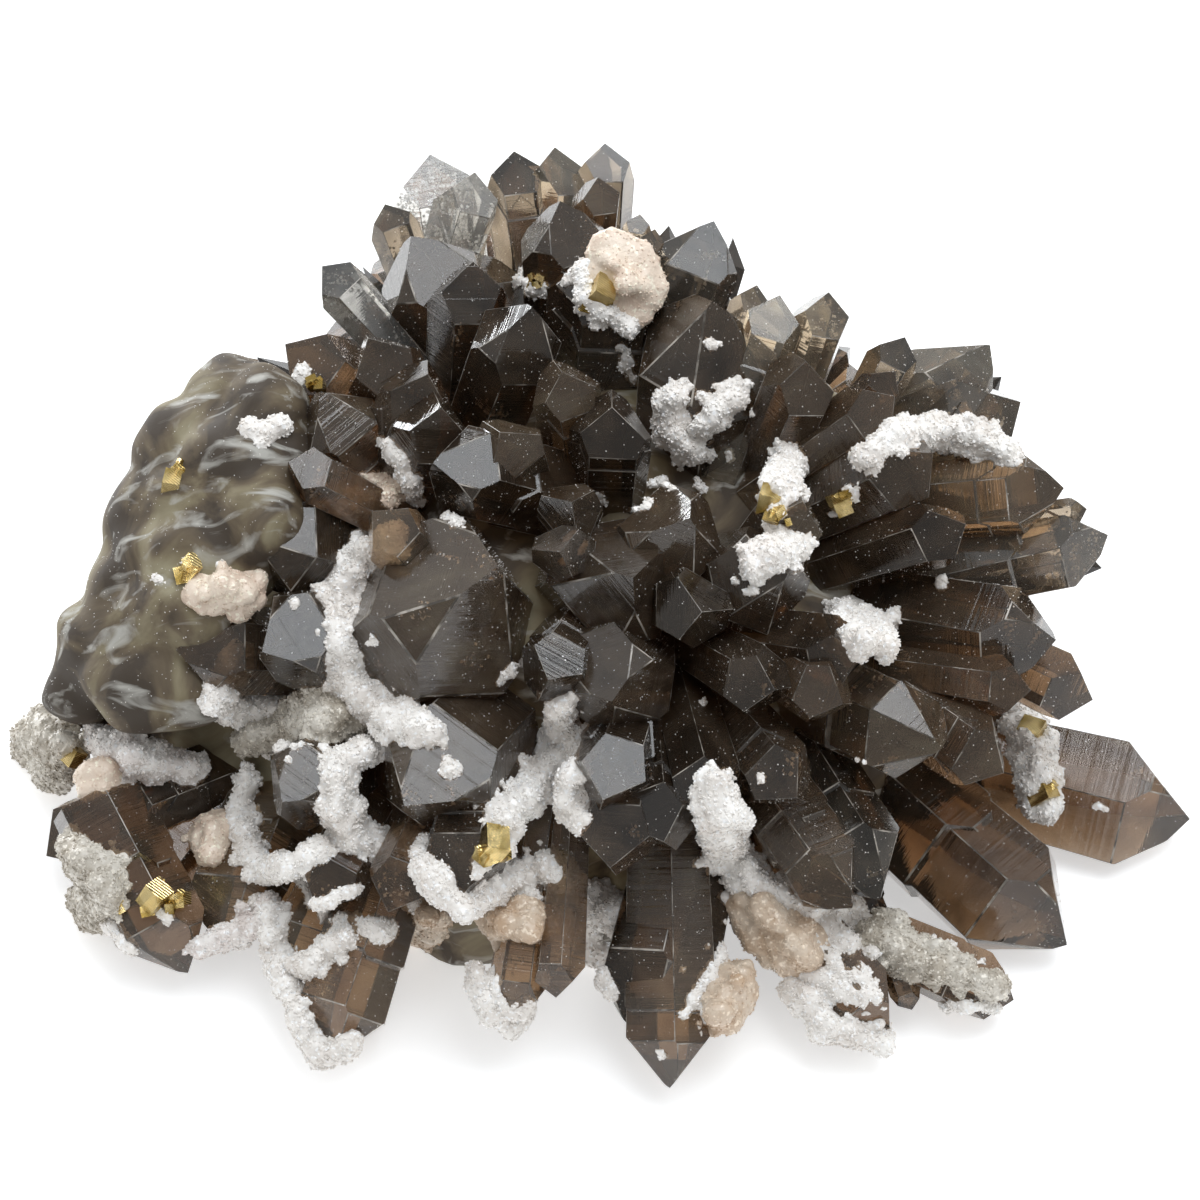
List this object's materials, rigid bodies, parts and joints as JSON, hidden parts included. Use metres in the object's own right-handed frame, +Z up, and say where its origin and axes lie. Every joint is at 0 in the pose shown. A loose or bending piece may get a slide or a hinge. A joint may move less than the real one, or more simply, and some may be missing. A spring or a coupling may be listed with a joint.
{
  "type": "mineral specimen of calcite on smoky quartz",
  "caption": "Radiating cluster of dark smoky quartz points with white and cream calcite crusts and small pyrite cubes, lying on its flat broken root.",
  "frame": {"origin": "middle of the flat rest face under the massive quartz root", "axes": "+X along the cluster's longest reach, to the right as seen from the front; +Y to the back; +Z up, away from the rest face"},
  "size_m": [0.1958, 0.1791, 0.0776],
  "materials": {
    "smoky_quartz": "clear dark brown crystal, glassy, with fine growth lines and veils",
    "calcite": "sugary white to cream crust of fine sparkling grains",
    "pyrite": "bright brassy metal crystals with fine striations"
  },
  "bodies": {
    "root": {"smoky_quartz_cluster": "smoky_quartz", "calcite_rim_main": "calcite", "calcite_rim_second": "calcite", "calcite_rim_third": "calcite", "calcite_rim_fifth": "calcite", "calcite_rim_low_left": "calcite", "calcite_rim_left": "calcite", "calcite_band_left": "calcite", "calcite_clump_left": "calcite", "calcite_strut": "calcite", "calcite_rim_centre": "calcite", "calcite_crust_front": "calcite", "calcite_rim_right": "calcite", "calcite_tan_lobes": "calcite", "calcite_tan_lobe_low": "calcite", "calcite_crust_low_right": "calcite", "calcite_rim_corner": "calcite", "calcite_vee_front": "calcite", "calcite_ball_west": "calcite", "calcite_ball_east": "calcite", "calcite_vee_low": "calcite", "calcite_sausage_top": "calcite", "calcite_sheet_right": "calcite", "calcite_cream_blob": "calcite", "calcite_cream_rim": "calcite", "calcite_patch_west": "calcite", "calcite_patch_east": "calcite", "calcite_rosette_west": "calcite", "calcite_blush_left": "calcite", "calcite_heart": "calcite", "calcite_ball_left": "calcite", "calcite_crust_left": "calcite", "calcite_clump_far_left": "calcite", "calcite_druse_left": "calcite", "calcite_streak_right": "calcite", "calcite_rosette_right": "calcite", "calcite_patch_centre": "calcite", "pyrite_left_large": "pyrite", "pyrite_left_small": "pyrite", "pyrite_far_left": "pyrite", "pyrite_left_wall": "pyrite", "pyrite_streak": "pyrite", "pyrite_right_spot": "pyrite", "pyrite_sheet_upper": "pyrite", "pyrite_sheet_lower": "pyrite", "pyrite_front": "pyrite", "pyrite_blob": "pyrite"}
  },
  "joints": []
}
